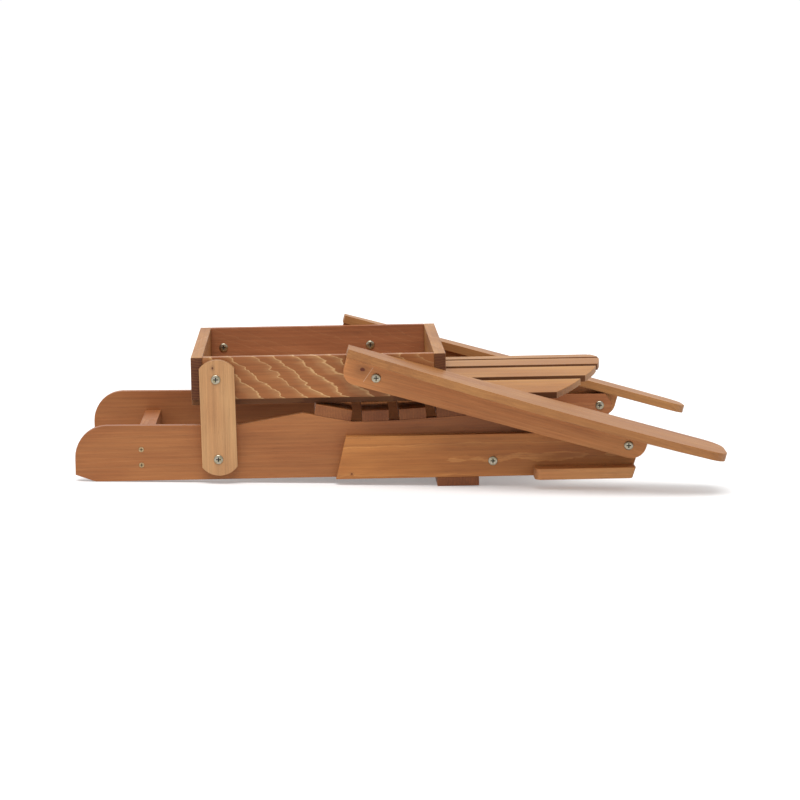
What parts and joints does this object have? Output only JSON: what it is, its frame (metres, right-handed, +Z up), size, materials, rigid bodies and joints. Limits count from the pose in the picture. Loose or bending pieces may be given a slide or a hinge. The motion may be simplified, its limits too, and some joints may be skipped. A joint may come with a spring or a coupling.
{
  "type": "folding garden chair",
  "caption": "Folding slatted wooden garden armchair with a reclined fan-shaped back, folded flat; legs, arms, links and back swing together to open it.",
  "frame": {"origin": "middle of the footprint of the chair's box, on the floor it lies on when folded", "axes": "+X to the chair's front, +Y to the sitter's left, +Z up"},
  "size_m": [1.176, 0.8212, 0.2551],
  "materials": {
    "rail_wood": "stained and oiled softwood, reddish brown",
    "leg_wood": "stained and oiled softwood, amber brown",
    "arm_wood": "stained and oiled softwood, light tan",
    "seat_wood": "stained and oiled softwood, dark reddish brown",
    "back_wood": "stained and oiled softwood, mid brown with bold pale grain",
    "zinc": "zinc plated steel"
  },
  "bodies": {
    "seat": {"left_rail": "rail_wood", "leg_pivot_screw_left": "zinc", "leg_pivot_screw_right": "zinc", "leg_pivot_sleeve_left": "zinc", "leg_pivot_sleeve_right": "zinc", "rear_pivot_screw_left": "zinc", "rear_pivot_screw_right": "zinc", "rear_pivot_sleeve_left": "zinc", "rear_pivot_sleeve_right": "zinc", "rear_screw_left_lower": "zinc", "rear_screw_left_upper": "zinc", "rear_screw_right_lower": "zinc", "rear_screw_right_upper": "zinc", "rear_stretcher": "rail_wood", "right_rail": "rail_wood", "seat_slat_1": "seat_wood", "seat_slat_2": "seat_wood", "seat_slat_3": "seat_wood", "seat_slat_4": "seat_wood", "seat_slat_5": "seat_wood", "seat_slat_6": "seat_wood"},
    "legs": {"arm_front_pivot_screw_left": "zinc", "arm_front_pivot_screw_right": "zinc", "arm_front_pivot_sleeve_left": "zinc", "arm_front_pivot_sleeve_right": "zinc", "left_corbel": "leg_wood", "left_leg": "leg_wood", "leg_stretcher": "leg_wood", "right_corbel": "leg_wood", "right_leg": "leg_wood"},
    "arms": {"arm_rear_pivot_screw_left": "zinc", "arm_rear_pivot_screw_right": "zinc", "left_arm_spacer": "leg_wood", "left_arm_support": "arm_wood", "left_armrest": "arm_wood", "right_arm_spacer": "leg_wood", "right_arm_support": "arm_wood", "right_armrest": "arm_wood"},
    "links": {"back_pivot_screw_left": "zinc", "back_pivot_screw_right": "zinc", "back_pivot_sleeve_left": "zinc", "back_pivot_sleeve_right": "zinc", "left_link": "arm_wood", "right_link": "arm_wood"},
    "back": {"arm_rear_pivot_sleeve_left": "zinc", "arm_rear_pivot_sleeve_right": "zinc", "back_lower_board": "back_wood", "back_slat_1": "back_wood", "back_slat_2": "back_wood", "back_slat_3": "back_wood", "back_slat_4": "back_wood", "back_slat_5": "back_wood", "back_slat_6": "back_wood", "back_upper_board": "back_wood", "left_back_side": "back_wood", "right_back_side": "back_wood"}
  },
  "joints": [
    {"name": "leg_swing", "type": "hinge", "parent": "seat", "child": "legs", "pos_m": [0.17024, 0, 0.04769], "axis": [0, -1, 0], "range_deg": [0, 84]},
    {"name": "arm_swing", "type": "hinge", "parent": "legs", "child": "arms", "pos_m": [0.41469, 0, 0.08072], "axis": [0, -1, 0], "range_deg": [-88.84, 0]},
    {"name": "link_swing", "type": "hinge", "parent": "seat", "child": "links", "pos_m": [-0.3274, 0, 0.04541], "axis": [0, -1, 0], "range_deg": [-37.5, 0]},
    {"name": "back_swing", "type": "hinge", "parent": "links", "child": "back", "pos_m": [-0.33358, 0, 0.19079], "axis": [0, -1, 0], "range_deg": [0, 134]}
  ],
  "couplings": [
    {"joint": "arm_swing", "follows": "leg_swing", "ratio": -1.0576},
    {"joint": "link_swing", "follows": "leg_swing", "ratio": -0.44643},
    {"joint": "back_swing", "follows": "leg_swing", "ratio": 1.5952}
  ]
}
